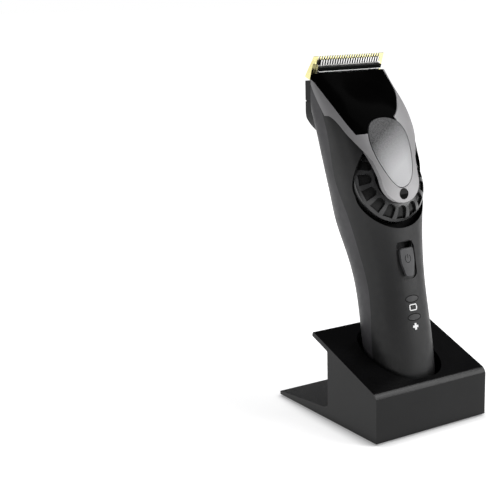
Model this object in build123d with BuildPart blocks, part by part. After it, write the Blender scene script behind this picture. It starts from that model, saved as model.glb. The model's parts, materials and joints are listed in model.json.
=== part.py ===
"""Rechargeable hair clipper standing in its charging stand.

Millimetres. +Z is up and +Y points to the back. The origin is on the table under the middle of the stand.
The handle leans back, so most of the clipper is drawn in its own frame: x across, v towards the back,
and s along the handle from its lower end.
"""

import os
from math import cos, pi, radians, sin, tan

from build123d import *

os.makedirs("parts", exist_ok=True)

# ---------------------------------------------------------------- driving dimensions

# Charging stand
STAND_WIDTH = 73.0
STAND_FRONT = -44.0
STAND_BACK = 44.0
FOOT_HEIGHT = 1.0
FRONT_WALL_TOP = 26.0
FRONT_ROUNDING = 4.2
PLATE_SLOPE = 20.5
PLATE_BACK = 10.5
PLATE_THICKNESS = 2.6
WEB_BACK = -2.4
TONGUE_THICKNESS = 6.2
TONGUE_TIP_THICKNESS = 1.8
STAND_WALL = 2.2
BASE_PLATE_THICKNESS = 1.6
CUP_WALL = 1.4

# Clipper: lean of the handle, its lower end and its shell
HANDLE_LEAN = 11.5
HANDLE_FOOT = (0.0, -21.8, 9.3)
SHELL_WALL = 2.6
SKIN = 1.5
TRIM_GAP = 0.05
CAP_LENGTH = 6.0
HEAD_BACK = 26.5
HEAD_TOP = 181.2
HOLDER_SEAT_BOTTOM = 143.0

# Taper dial
DIAL_CENTRE = (0.0, -8.9, 126.3)
DIAL_TILT = 24.0
DIAL_RADIUS = 21.9
DIAL_BORE = 13.0
DIAL_DEPTH = 5.0
DIAL_CREST = 4.6
CREST_RADIUS = 17.6
CREST_FALL = 1.45
RIM_ROUNDING = 0.6
DIAL_CELLS = 15
CELL_DEPTH = 1.7
DIAL_POCKET_RADIUS = 22.4
DIAL_GAP = 0.35
POCKET_FLOOR = -5.5
POCKET_DROP = 3.6
POCKET_WALL = 1.6
POCKET_LOW_RADIUS = 21.9
TAPER_TRAVEL = 1.0
CAM_PIN = (15.9, 6.6)
CAM_PIN_RADIUS = 0.6

# Sliding power switch in its scoop, with a trench above for its travel
SWITCH_S = (67.3, 81.8)
SWITCH_HALF = 4.25
SCOOP_DEPTH = 0.8
TRENCH = (81.9, 85.2)
TRENCH_HALF = 4.9

# Blade: the fixed comb leans forward at its tips
BLADE_LEAN = 19.5
BLADE_TIP = (0.0, 25.6, 189.9)
BLADE_WIDTH = 46.0
TOOTH_PITCH = 1.62
COMB_SLOTS = 25
COMB_SLOT_WIDTH = 0.95
COMB_SLOT_LENGTH = 10.0
CUTTER_WIDTH = 41.0
CUTTER_THICKNESS = 1.5
CUTTER_GAP = 0.05

# Pin that the blade block tips back about, in a lug on the head
PIVOT_Y = 28.2
PIVOT_Z = 145.2
PIN_RADIUS = 0.7
PIN_HALF = 5.0
LUG_HALF = 1.5
LUG_BORE = 1.0

# Cross-sections of the clipper: s, half-width, front v, widest v, back v, front and back roundness
SECTIONS = [
    (0.0, 15.2, -15.3, 0.0, 15.7, 2.4, 2.4),
    (20.0, 17.2, -16.8, 0.0, 17.6, 2.4, 2.4),
    (40.0, 17.6, -17.0, 0.0, 17.2, 2.4, 2.4),
    (55.0, 17.5, -16.8, 0.0, 16.8, 2.4, 2.4),
    (70.0, 18.3, -16.5, 0.3, 17.2, 2.4, 2.4),
    (86.0, 20.4, -16.4, 1.5, 19.8, 2.5, 2.4),
    (102.0, 22.7, -18.2, 3.0, 22.9, 2.6, 2.4),
    (118.0, 24.0, -19.3, 4.5, 23.0, 2.8, 2.4),
    (133.0, 24.8, -15.2, 6.0, 22.4, 3.1, 2.7),
    (150.0, 25.3, -9.4, 9.0, 21.4, 3.5, 3.2),
    (165.0, 25.1, 0.6, 13.0, 22.0, 3.8, 4.0),
    (173.0, 24.8, 6.7, 15.4, 23.0, 3.9, 4.0),
    (181.0, 24.3, 12.6, 18.0, 24.0, 4.0, 4.0),
]
# How far the bezel and the thumb plate stand proud of the housing, by station
BEZEL_RISE = [(86.0, 1.2), (118.0, 1.0), (133.0, 1.0), (150.0, 0.7), (165.0, 0.2), (181.0, 0.0)]
FOOT_ROUNDING = 3.0
POINTS_PER_SECTION = 24
EVEN_STEPS = [index / POINTS_PER_SECTION for index in range(POINTS_PER_SECTION + 1)]

# ---------------------------------------------------------------- frames

LEAN_SIN = sin(radians(HANDLE_LEAN))
LEAN_COS = cos(radians(HANDLE_LEAN))
HANDLE = Plane(origin=HANDLE_FOOT, x_dir=(1, 0, 0), z_dir=(0, LEAN_SIN, LEAN_COS))
HANDLE_FRONT = Plane(origin=HANDLE_FOOT, x_dir=(1, 0, 0), z_dir=(0, -LEAN_COS, LEAN_SIN))
HANDLE_SIDE = Plane(origin=HANDLE_FOOT, x_dir=HANDLE.y_dir, z_dir=(1, 0, 0))
DIAL = Plane(
    origin=DIAL_CENTRE,
    x_dir=(1, 0, 0),
    z_dir=(0, -cos(radians(DIAL_TILT)), sin(radians(DIAL_TILT))),
)
DIAL_SIDE = Plane(origin=DIAL_CENTRE, x_dir=(1, 0, 0), z_dir=-DIAL.y_dir)
DIAL_AXIS = Axis(DIAL_CENTRE, DIAL.z_dir)
# Blade frame: x across, y along the teeth towards the tips, z out of the front of the comb
BLADE_SIN = sin(radians(BLADE_LEAN))
BLADE_COS = cos(radians(BLADE_LEAN))
BLADE = Plane(origin=BLADE_TIP, x_dir=(1, 0, 0), z_dir=(0, -BLADE_COS, -BLADE_SIN))
# Side view of the blade: local x goes to the back of the comb, local y to the tips
BLADE_SIDE = Plane(origin=BLADE_TIP, x_dir=(0, BLADE_COS, BLADE_SIN), z_dir=(1, 0, 0))


def along(table, s):
    """Straight-line value of a (station, value) table at station s."""
    if s <= table[0][0]:
        return table[0][1]
    for (s0, a), (s1, b) in zip(table, table[1:]):
        if s <= s1:
            return a + (b - a) * (s - s0) / (s1 - s0)
    return table[-1][1]


def section_points(section, inset, rise):
    """Superellipse outline of one cross-section, drawn in by inset, its front lifted by rise."""
    _, half_width, front, widest, back, front_n, back_n = section
    points = []
    for index in range(POINTS_PER_SECTION):
        angle = pi / 2 + 2 * pi * index / POINTS_PER_SECTION
        c, d = cos(angle), sin(angle)
        roundness = front_n if d < 0 else back_n
        depth = widest - front + rise - inset if d < 0 else back - widest - inset
        reach = (abs(c) ** roundness + abs(d) ** roundness) ** (-1 / roundness)
        across = half_width + rise / 2 - inset
        points.append((across * reach * c, widest + depth * reach * d))
    return points


def section_curve(section, inset, rise):
    """Closed smooth curve round one cross-section; even steps keep neighbouring sections alike."""
    points = [Vector(x, v) for x, v in section_points(section, inset, rise)]
    return Edge.make_spline(points, periodic=True, parameters=EVEN_STEPS)


def body_form(inset=0.0, lifted=False, first=0, last=len(SECTIONS)):
    """Smooth solid through the cross-sections, drawn in by inset."""
    with BuildPart() as form:
        for section in SECTIONS[first:last]:
            rise = along(BEZEL_RISE, section[0]) if lifted else 0.0
            with BuildSketch(HANDLE.offset(section[0])):
                with BuildLine():
                    add(section_curve(section, inset, rise))
                make_face()
        loft()
    return form.part


def edges_along_x(part, y, z):
    """Edges of the part that run across it at (y, z)."""
    found = part.edges().filter_by(Axis.X)
    return found.filter_by(lambda e: abs(e.center().Y - y) < 0.05 and abs(e.center().Z - z) < 0.05)


def handle_box(x, v, s):
    """Box in the handle's frame between the two limits given on each axis."""
    with BuildPart() as block:
        with BuildSketch(HANDLE.offset(s[0])):
            with Locations(((x[0] + x[1]) / 2, (v[0] + v[1]) / 2)):
                Rectangle(x[1] - x[0], v[1] - v[0])
        extrude(amount=s[1] - s[0])
    return block.part


def blade_box(x, v, w):
    """Box in the blade's frame: v along the teeth, w out of the comb's front, negative behind it."""
    with BuildPart() as block:
        with BuildSketch(BLADE.offset(w[0])):
            with Locations(((x[0] + x[1]) / 2, (v[0] + v[1]) / 2)):
                Rectangle(x[1] - x[0], v[1] - v[0])
        extrude(amount=w[1] - w[0])
    return block.part


def upright_box(x, y, z):
    """Box along the table's axes between the two limits given on each axis."""
    with BuildPart() as block:
        with BuildSketch(Plane.XY.offset(z[0])):
            with Locations(((x[0] + x[1]) / 2, (y[0] + y[1]) / 2)):
                Rectangle(x[1] - x[0], y[1] - y[0])
        extrude(amount=z[1] - z[0])
    return block.part


def side_prism(points, corners, half_width=40.0):
    """Region between a smooth curve seen from the side and the straight corners that close it."""
    with BuildPart() as prism:
        with BuildSketch(HANDLE_SIDE.offset(-half_width)):
            with BuildLine():
                Spline(*points)
                Polyline(points[-1], *corners, points[0])
            make_face()
        extrude(amount=2 * half_width)
    return prism.part


def front_disc(centre_s, radius, v):
    """Round bar square to the handle's front, between two depths."""
    with BuildPart() as disc:
        with BuildSketch(HANDLE_FRONT.offset(-v[1])):
            with Locations((0, centre_s)):
                Circle(radius)
        extrude(amount=v[1] - v[0])
    return disc.part


def dial_ring(radius, bore, h):
    """Plain ring on the dial's axis between two heights; no bore when bore is 0."""
    with BuildPart() as ring:
        with BuildSketch(DIAL.offset(h[0])):
            Circle(radius)
            if bore:
                Circle(bore, mode=Mode.SUBTRACT)
        extrude(amount=h[1] - h[0])
    return ring.part


def pocket_form(wall, h):
    """Dial pocket between two heights: a round, and a second one lower down that leaves a gap under the rim."""
    with BuildPart() as pocket:
        with BuildSketch(DIAL.offset(h[0])):
            Circle(DIAL_POCKET_RADIUS + wall)
            with Locations((0, -POCKET_DROP)):
                Circle(POCKET_LOW_RADIUS + wall)
        extrude(amount=h[1] - h[0])
    return pocket.part


def pivot_bar(radius, half_length):
    """Round bar on the axis that the blade block tips about."""
    with BuildPart() as bar:
        with BuildSketch(Plane.YZ.offset(-half_length)):
            with Locations((PIVOT_Y, PIVOT_Z)):
                Circle(radius)
        extrude(amount=2 * half_length)
    return bar.part


def dial_blank(sink, grow=0.0):
    """Dial turned on its axis, its sloping face sunk by the given depth and its rim grown."""
    rim = DIAL_RADIUS + grow
    with BuildPart() as blank:
        with BuildSketch(DIAL_SIDE):
            with BuildLine():
                Polyline(
                    (DIAL_BORE, DIAL_CREST - sink),
                    (DIAL_BORE, -DIAL_DEPTH),
                    (rim, -DIAL_DEPTH),
                    (rim, -RIM_ROUNDING - sink),
                    (rim - RIM_ROUNDING, -sink),
                )
                ThreePointArc(
                    (rim - RIM_ROUNDING, -sink),
                    (CREST_RADIUS, DIAL_CREST - CREST_FALL - sink),
                    (DIAL_BORE, DIAL_CREST - sink),
                )
            make_face()
        revolve(axis=DIAL_AXIS)
    return blank.part


def save(part, name):
    """Label a finished piece and write its file."""
    part.label = name
    export_step(part, "parts/" + name + ".step")


# ---------------------------------------------------------------- shared forms of the clipper

OUTER_FORM = body_form()
SKIN_FORM = body_form(inset=SKIN)
TRIM_FORM = body_form(inset=SKIN - TRIM_GAP)
INNER_FORM = body_form(inset=SHELL_WALL, last=len(SECTIONS) - 1)
LIFTED_FORM = body_form(lifted=True, first=4)
LIFTED_LOW_FORM = body_form(lifted=True, first=3, last=8)
BUTTON_BED_FORM = body_form(inset=SCOOP_DEPTH - 0.3, first=2, last=8)

# Line on the side where the front and rear housings meet, as (v, s) from the foot to the head
PARTING_LINE = [(0.0, -4.0), (-2.3, 44.0), (-3.9, 64.0), (-2.6, 84.0), (-0.5, 104.0), (4.0, 121.0), (4.0, 140.0),
                (7.0, 158.0), (12.0, 170.0), (15.5, 184.0)]
# Rear edge of the bezel's arms, as (v, s) from the top down: a hook, then a diagonal to the tongue
BEZEL_ARM_BACK = [(15.6, 184.0), (13.0, 170.0), (8.5, 161.6), (4.5, 154.9)]
BEZEL_DIAGONAL = [(1.2, 154.3), (-2.6, 151.2), (-7.0, 145.0), (-11.0, 138.6), (-15.1, 130.6)]
TONGUE_RADIUS = 12.0
TONGUE_CENTRE_S = 117.3
TONGUE_SIDE = [(12.7, 122.5), (14.6, 130.2), (17.0, 135.5)]
FAR_FRONT = -60.0
# Gloss panel between the arms: its left and right edges, as (x, s) from the top down
PANEL_LEFT = [(-25.8, 186.0), (-25.1, 178.5), (-24.2, 170.5), (-23.3, 162.5), (-21.7, 152.3), (-18.3, 142.5)]
PANEL_RIGHT = [(21.8, 186.0), (21.5, 176.0), (20.9, 165.0), (16.9, 159.2), (11.9, 153.0), (8.4, 150.2)]
# Egg-shaped thumb plate: half-widths at stations from its lower end up
PLATE_BOTTOM = 113.3
PLATE_TOP = 150.2
PLATE_HALF = [(4.9, 115.6), (8.6, 122.0), (11.0, 129.2), (12.1, 136.6), (11.5, 142.8), (9.0, 147.2)]
PLATE_GAP = 0.45
LENS_S = 109.8
LENS_RADIUS = 2.9


def plate_outline(grow):
    """Closed egg outline, grown sideways and lengthways."""
    right = [(x + grow, s) for x, s in PLATE_HALF]
    left = [(-x, s) for x, s in reversed(right)]
    return [(0, PLATE_BOTTOM - grow)] + right + [(0, PLATE_TOP + grow)] + left


def bezel_region():
    """Space that the bezel and everything framed by it fill, seen through the front skin."""
    with BuildPart() as arms:
        with BuildSketch(HANDLE_SIDE.offset(-40)):
            with BuildLine():
                Polyline((FAR_FRONT, BEZEL_DIAGONAL[-1][1] - 2), (FAR_FRONT, 184.0), BEZEL_ARM_BACK[0])
                Spline(*BEZEL_ARM_BACK)
                Line(BEZEL_ARM_BACK[-1], BEZEL_DIAGONAL[0])
                Spline(*BEZEL_DIAGONAL)
                Polyline(BEZEL_DIAGONAL[-1], (-16.0, BEZEL_DIAGONAL[-1][1] - 2), (FAR_FRONT, BEZEL_DIAGONAL[-1][1] - 2))
            make_face()
        extrude(amount=80)
        with BuildSketch(HANDLE_FRONT.offset(6)):
            with BuildLine():
                ThreePointArc(
                    (-TONGUE_RADIUS, TONGUE_CENTRE_S),
                    (0, TONGUE_CENTRE_S - TONGUE_RADIUS),
                    (TONGUE_RADIUS, TONGUE_CENTRE_S),
                )
                Spline((TONGUE_RADIUS, TONGUE_CENTRE_S), *TONGUE_SIDE, tangents=[(0, 1), (0.6, 1)])
                Polyline(TONGUE_SIDE[-1], (-TONGUE_SIDE[-1][0], TONGUE_SIDE[-1][1]))
                Spline(
                    *[(-x, s) for x, s in reversed(TONGUE_SIDE)],
                    (-TONGUE_RADIUS, TONGUE_CENTRE_S),
                    tangents=[(0.6, -1), (0, -1)],
                )
            make_face()
        extrude(amount=54)
    return arms.part


def panel_region():
    """Prism through the gloss panel's outline."""
    with BuildPart() as prism:
        with BuildSketch(HANDLE_FRONT.offset(-15.2)):
            with BuildLine():
                Spline(*PANEL_LEFT)
                Polyline(PANEL_LEFT[-1], (-8.0, PANEL_LEFT[-1][1]), (-8.0, 148.0), (9.0, 148.0), PANEL_RIGHT[-1])
                Spline(*reversed(PANEL_RIGHT))
                Line(PANEL_RIGHT[0], PANEL_LEFT[0])
            make_face()
        extrude(amount=75)
    return prism.part


def egg_prism(grow):
    """Prism through the thumb plate's outline."""
    with BuildPart() as prism:
        with BuildSketch(HANDLE_FRONT.offset(4)):
            with BuildLine():
                Spline(*plate_outline(grow), periodic=True)
            make_face()
        extrude(amount=56)
    return prism.part


BEZEL_REGION = bezel_region()
PANEL_REGION = panel_region()
HEAD_TRIM = upright_box((-40, 40), (-40, 60), (HEAD_TOP, HEAD_TOP + 40))
BACK_TRIM = upright_box((-40, 40), (HEAD_BACK, HEAD_BACK + 40), (HOLDER_SEAT_BOTTOM, HEAD_TOP + 40))
# Room behind the head's top edge for the blade's moving parts
BLADE_TRIM = blade_box((-24, 24), (-16, 0), (-1, 2.5))
FRONT_REGION = side_prism(PARTING_LINE, [(FAR_FRONT, 184.0), (FAR_FRONT, -4.0)])
EGG_HOLE = egg_prism(PLATE_GAP)
EGG = egg_prism(0.0)

# ---------------------------------------------------------------- stand

SLOPE = tan(radians(PLATE_SLOPE))
PLATE_BACK_TOP = FRONT_WALL_TOP + (PLATE_BACK - STAND_FRONT) * SLOPE
UNDER_BACK_Y = PLATE_BACK + PLATE_THICKNESS * sin(radians(PLATE_SLOPE))
UNDER_BACK_Z = PLATE_BACK_TOP - PLATE_THICKNESS * cos(radians(PLATE_SLOPE))


def under_plate(y):
    """Height of the sloping plate's underside at y."""
    return UNDER_BACK_Z - (UNDER_BACK_Y - y) * SLOPE


def cup_form(grow, floor_s):
    """Inside of the cup, grown by a wall; it opens out towards the plate."""
    stations = [
        (floor_s, 16.9, -17.0, 0.0, 17.4, 2.4, 2.4),
        (8.0, 17.8, -19.0, 0.0, 18.5, 2.4, 2.4),
        (16.0, 18.9, -21.4, 0.0, 19.4, 2.4, 2.4),
        (28.0, 19.9, -22.4, 0.0, 19.9, 2.4, 2.4),
        (52.0, 20.3, -23.0, 0.0, 20.4, 2.4, 2.4),
    ]
    with BuildPart() as form:
        for station in stations:
            with BuildSketch(HANDLE.offset(station[0])):
                with BuildLine():
                    add(section_curve(station, -grow, 0.0))
                make_face()
        loft()
    return form.part


CUP_FLOOR = -0.6
CUP_INSIDE = cup_form(0.0, CUP_FLOOR)
CUP_OUTSIDE = cup_form(CUP_WALL, CUP_FLOOR - CUP_WALL)

CONTACT_SPACING = 10.0
CONTACT_GAP = 0.3
INLET_X = 27.5
INLET_Z = 13.0
INLET_OUTER = (11.0, 9.0)
INLET_CAVITY = (8.4, 6.4)
INLET_DEPTH = 9.5
STAND_SCREW_PLACES = [(x, y) for x in (-31.2, 31.2) for y in (-38.0, -17.8)]
INSIDE_FRONT = STAND_FRONT + STAND_WALL
INSIDE_BACK = WEB_BACK - STAND_WALL

# Everything under the sloping plate, to trim the cup
with BuildPart() as below_plate:
    with BuildSketch(Plane.YZ.offset(-40)):
        with BuildLine():
            Polyline((-80, 0), (-80, under_plate(-80)), (60, under_plate(60)), (60, 0), close=True)
        make_face()
    extrude(amount=80)

with BuildPart() as stand_cup:
    add(CUP_OUTSIDE)
    add(CUP_INSIDE, mode=Mode.SUBTRACT)
    add(below_plate.part, mode=Mode.INTERSECT)
    with BuildSketch(HANDLE.offset(-4)):
        with GridLocations(CONTACT_SPACING, 1, 2, 1):
            Circle(1.3)
    extrude(amount=6, mode=Mode.SUBTRACT)
save(stand_cup.part, "stand_cup")

with BuildPart() as stand_shell:
    with BuildSketch(Plane.YZ.offset(-STAND_WIDTH / 2)):
        with BuildLine():
            Polyline(
                (STAND_FRONT, FOOT_HEIGHT),
                (STAND_FRONT, FRONT_WALL_TOP),
                (PLATE_BACK, PLATE_BACK_TOP),
                (UNDER_BACK_Y, UNDER_BACK_Z),
                (WEB_BACK, under_plate(WEB_BACK)),
                (WEB_BACK, FOOT_HEIGHT + TONGUE_THICKNESS),
                (STAND_BACK, FOOT_HEIGHT + TONGUE_TIP_THICKNESS),
                (STAND_BACK, FOOT_HEIGHT),
                close=True,
            )
        make_face()
    extrude(amount=STAND_WIDTH)
    fillet(edges_along_x(stand_shell.part, STAND_FRONT, FRONT_WALL_TOP), FRONT_ROUNDING)
    fillet(edges_along_x(stand_shell.part, WEB_BACK, FOOT_HEIGHT + TONGUE_THICKNESS), 3.0)
    fillet(edges_along_x(stand_shell.part, WEB_BACK, under_plate(WEB_BACK)), 1.2)
    fillet(edges_along_x(stand_shell.part, PLATE_BACK, PLATE_BACK_TOP), 0.7)
    fillet(edges_along_x(stand_shell.part, UNDER_BACK_Y, UNDER_BACK_Z), 0.7)
    # Hollow of the body, open below
    with BuildSketch(Plane.YZ.offset(-STAND_WIDTH / 2 + STAND_WALL)):
        with BuildLine():
            Polyline(
                (INSIDE_FRONT, FOOT_HEIGHT),
                (INSIDE_FRONT, under_plate(INSIDE_FRONT)),
                (INSIDE_BACK, under_plate(INSIDE_BACK)),
                (INSIDE_BACK, FOOT_HEIGHT),
                close=True,
            )
        make_face()
    extrude(amount=STAND_WIDTH - 2 * STAND_WALL, mode=Mode.SUBTRACT)
    # Screw posts stand down from the plate to the base
    with BuildSketch(Plane.XY.offset(FOOT_HEIGHT + BASE_PLATE_THICKNESS)):
        with Locations(*STAND_SCREW_PLACES):
            Circle(3.0)
    extrude(until=Until.NEXT)
    with BuildSketch(Plane.XY.offset(FOOT_HEIGHT + BASE_PLATE_THICKNESS)):
        with Locations(*STAND_SCREW_PLACES):
            Circle(1.2)
    extrude(amount=7, mode=Mode.SUBTRACT)
    # Well in the plate, the cup behind the web, and the power inlet
    add(CUP_INSIDE, mode=Mode.SUBTRACT)
    add(stand_cup.part, mode=Mode.SUBTRACT)
    with BuildSketch(Plane.XZ.offset(-WEB_BACK - 1)):
        with Locations((INLET_X, INLET_Z)):
            Rectangle(*INLET_OUTER)
    extrude(amount=STAND_WALL + 2, mode=Mode.SUBTRACT)
save(stand_shell.part, "stand_shell")

with BuildPart() as stand_base_plate:
    with BuildSketch(Plane.XY.offset(FOOT_HEIGHT)):
        with Locations((0, (INSIDE_FRONT + INSIDE_BACK) / 2)):
            RectangleRounded(STAND_WIDTH - 2 * STAND_WALL - 0.3, INSIDE_BACK - INSIDE_FRONT - 0.3, 0.8)
        with Locations(*STAND_SCREW_PLACES):
            Circle(1.4, mode=Mode.SUBTRACT)
    extrude(amount=BASE_PLATE_THICKNESS)
save(stand_base_plate.part, "stand_base_plate")

with BuildPart() as stand_screws:
    with BuildSketch(Plane.XY.offset(FOOT_HEIGHT - 0.6)):
        with Locations(*STAND_SCREW_PLACES):
            Circle(2.2)
    extrude(amount=0.6)
    with BuildSketch(Plane.XY.offset(FOOT_HEIGHT)):
        with Locations(*STAND_SCREW_PLACES):
            Circle(1.15)
    extrude(amount=7.5)
save(stand_screws.part, "stand_screws")

FOOT_PLACES = [(-29.0, -25.0), (29.0, -25.0), (-29.0, 37.0), (29.0, 37.0)]
with BuildPart() as stand_feet:
    with BuildSketch():
        with Locations(*FOOT_PLACES):
            RectangleRounded(12.0, 9.0, 2.5)
    extrude(amount=FOOT_HEIGHT)
save(stand_feet.part, "stand_feet")

BOARD_THICKNESS = 1.2
STAND_BOARD_TOP = CUP_FLOOR - CUP_WALL - 0.9
with BuildPart() as stand_circuit_board:
    add(handle_box((-12, 12), (-11, 2.5), (STAND_BOARD_TOP - BOARD_THICKNESS, STAND_BOARD_TOP)))
save(stand_circuit_board.part, "stand_circuit_board")

with BuildPart() as stand_contacts:
    with BuildSketch(HANDLE.offset(STAND_BOARD_TOP)):
        with GridLocations(CONTACT_SPACING, 1, 2, 1):
            Circle(1.0)
    extrude(amount=-STAND_BOARD_TOP - CONTACT_GAP)
save(stand_contacts.part, "stand_contacts")

INLET_FACE = Plane.XZ.offset(-WEB_BACK)
with BuildPart() as stand_power_inlet:
    with BuildSketch(INLET_FACE):
        with Locations((INLET_X, INLET_Z)):
            RectangleRounded(*INLET_OUTER, 0.6)
    extrude(amount=INLET_DEPTH)
    with BuildSketch(INLET_FACE):
        with Locations((INLET_X, INLET_Z)):
            RectangleRounded(*INLET_CAVITY, 1.8)
    extrude(amount=INLET_DEPTH - 1.5, mode=Mode.SUBTRACT)
    with BuildSketch(INLET_FACE.offset(INLET_DEPTH - 3)):
        with Locations((INLET_X - 1.9, INLET_Z), (INLET_X + 1.9, INLET_Z)):
            Circle(0.6)
    extrude(amount=5, mode=Mode.SUBTRACT)
save(stand_power_inlet.part, "stand_power_inlet")

with BuildPart() as inlet_pins:
    with BuildSketch(INLET_FACE.offset(2.5)):
        with Locations((INLET_X - 1.9, INLET_Z), (INLET_X + 1.9, INLET_Z)):
            Circle(0.6)
    extrude(amount=INLET_DEPTH)
save(inlet_pins.part, "inlet_pins")

# ---------------------------------------------------------------- clipper: housings

LED_STATIONS = [55.4, 45.8]
LED_SIZE = (4.0, 1.6)
WINDOW_DRIVE = (-4.6, 4.6)
WINDOW_SLIDER = (13.2, 18.6)
CHARGE_PAD_RADIUS = 1.9


def button_outline():
    """Shield outline: wide rounded top, sides tapering to a rounded lower end."""
    low, high = SWITCH_S
    half = SWITCH_HALF
    waist = half * 0.52
    with BuildSketch(HANDLE_FRONT.offset(12)) as outline:
        with BuildLine():
            Polyline((-half, high), (-half, low + 7.5), (-waist, low), (waist, low), (half, low + 7.5), (half, high), close=True)
        make_face()
        fillet(outline.vertices(), 1.4)
    return outline.sketch


BUTTON_PRISM = extrude(button_outline(), amount=20)
with BuildPart() as scoop_prism:
    with BuildSketch(HANDLE_FRONT.offset(10)):
        with Locations((0, (SWITCH_S[0] + SWITCH_S[1]) / 2 + 1.2)):
            RectangleRounded(12.0, 20.0, 4.0)
    extrude(amount=20)
SCOOP_FLOOR = body_form(inset=SCOOP_DEPTH, first=2, last=8)

with BuildPart() as housing_blank:
    add(OUTER_FORM)
    add(INNER_FORM, mode=Mode.SUBTRACT)
    add(HEAD_TRIM, mode=Mode.SUBTRACT)
    add(BACK_TRIM, mode=Mode.SUBTRACT)
    add(BLADE_TRIM, mode=Mode.SUBTRACT)
    # The bottom cap closes the lower end
    add(handle_box((-60, 60), (-60, 60), (-10, CAP_LENGTH)), mode=Mode.SUBTRACT)

# What the bezel and the gloss panel cut away from the outside of the housings
with BuildPart() as skin_cut:
    add(BEZEL_REGION)
    add(SKIN_FORM, mode=Mode.SUBTRACT)

with BuildPart() as panel_cut:
    add(OUTER_FORM)
    add(SKIN_FORM, mode=Mode.SUBTRACT)
    add(PANEL_REGION, mode=Mode.INTERSECT)

# Flat wall where the blade block seats
with BuildPart() as seat_wall:
    add(upright_box((-30, 30), (HEAD_BACK - 2.0, HEAD_BACK), (HOLDER_SEAT_BOTTOM - 3, HEAD_TOP)))
    add(OUTER_FORM, mode=Mode.INTERSECT)

with BuildPart() as rear_housing:
    add(housing_blank.part)
    add(seat_wall.part)
    add(FRONT_REGION, mode=Mode.SUBTRACT)
    add(skin_cut.part, mode=Mode.SUBTRACT)
    add(panel_cut.part, mode=Mode.SUBTRACT)
    add(upright_box(WINDOW_DRIVE, (HEAD_BACK - 8, HEAD_BACK + 3), (163.5, 170.5)), mode=Mode.SUBTRACT)
    add(upright_box(WINDOW_SLIDER, (HEAD_BACK - 8, HEAD_BACK + 3), (158.5, 168.0)), mode=Mode.SUBTRACT)
    # Lug for the blade block's pin
    add(upright_box((-LUG_HALF, LUG_HALF), (HEAD_BACK - 1, PIVOT_Y + 1.4), (PIVOT_Z - 1.2, PIVOT_Z + 1.2)))
    add(pivot_bar(LUG_BORE, PIN_HALF), mode=Mode.SUBTRACT)
save(rear_housing.part, "rear_housing")

with BuildPart() as dial_seat:
    add(pocket_form(POCKET_WALL, (POCKET_FLOOR - POCKET_WALL, 20)))
    add(SKIN_FORM, mode=Mode.INTERSECT)

with BuildPart() as front_housing:
    add(housing_blank.part)
    add(FRONT_REGION, mode=Mode.INTERSECT)
    add(skin_cut.part, mode=Mode.SUBTRACT)
    add(dial_seat.part)
    add(pocket_form(0, (POCKET_FLOOR, 40)), mode=Mode.SUBTRACT)
    with BuildPart(mode=Mode.PRIVATE) as scoop:
        add(scoop_prism.part)
        add(SCOOP_FLOOR, mode=Mode.SUBTRACT)
    add(scoop.part, mode=Mode.SUBTRACT)
    # Slot for the button's stem, the trench above the button, and the light pipes' holes
    add(handle_box((-2.2, 2.2), (-30, -8), (70.0, 81.5)), mode=Mode.SUBTRACT)
    add(handle_box((-TRENCH_HALF, TRENCH_HALF), (-30, -12.6), TRENCH), mode=Mode.SUBTRACT)
    # Slot in the dial pocket's floor for the taper slider's cam pin
    with BuildSketch(DIAL.offset(POCKET_FLOOR - 3)):
        with Locations((CAM_PIN[0], CAM_PIN[1] + TAPER_TRAVEL / 2)):
            Rectangle(2.4, 2.4 + TAPER_TRAVEL)
    extrude(amount=4, mode=Mode.SUBTRACT)
    for s in LED_STATIONS:
        with BuildSketch(HANDLE_FRONT.offset(10)):
            with Locations((0, s)):
                Ellipse(LED_SIZE[0] + 0.1, LED_SIZE[1] + 0.1)
        extrude(amount=15, mode=Mode.SUBTRACT)
save(front_housing.part, "front_housing")

with BuildPart() as bottom_cap:
    add(OUTER_FORM)
    add(handle_box((-60, 60), (-60, 60), (CAP_LENGTH, 260)), mode=Mode.SUBTRACT)
    fillet(bottom_cap.faces().filter_by(HANDLE).sort_by(Axis.Z)[0].edges(), FOOT_ROUNDING)
    # Recesses for the charging pads and the socket for a direct lead
    with BuildSketch(HANDLE):
        with GridLocations(CONTACT_SPACING, 1, 2, 1):
            Circle(CHARGE_PAD_RADIUS)
    extrude(amount=1.0, mode=Mode.SUBTRACT)
    add(handle_box((-4.2, 4.2), (4.5, 10.0), (-1.0, 4.5)), mode=Mode.SUBTRACT)
save(bottom_cap.part, "bottom_cap")

with BuildPart() as charging_pads:
    with BuildSketch(HANDLE):
        with GridLocations(CONTACT_SPACING, 1, 2, 1):
            Circle(CHARGE_PAD_RADIUS)
    extrude(amount=1.0)
save(charging_pads.part, "charging_pads")

with BuildPart() as lead_socket:
    add(handle_box((-4.2, 4.2), (4.5, 10.0), (0.3, 4.5)))
    add(handle_box((-3.3, 3.3), (5.4, 9.1), (0.3, 3.6)), mode=Mode.SUBTRACT)
    with BuildSketch(HANDLE.offset(1.0)):
        with Locations((-1.6, 7.25), (1.6, 7.25)):
            Circle(0.5)
    extrude(amount=2.8)
save(lead_socket.part, "lead_socket")

# ---------------------------------------------------------------- clipper: bezel, panel, thumb plate

with BuildPart() as lens_hole:
    add(front_disc(LENS_S, LENS_RADIUS, (-40, -8)))

with BuildPart() as front_skin:
    add(LIFTED_FORM)
    add(TRIM_FORM, mode=Mode.SUBTRACT)
    add(BEZEL_REGION, mode=Mode.INTERSECT)
    add(HEAD_TRIM, mode=Mode.SUBTRACT)
    add(BACK_TRIM, mode=Mode.SUBTRACT)
    add(BLADE_TRIM, mode=Mode.SUBTRACT)
    add(dial_blank(-DIAL_GAP, DIAL_GAP), mode=Mode.SUBTRACT)

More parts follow.
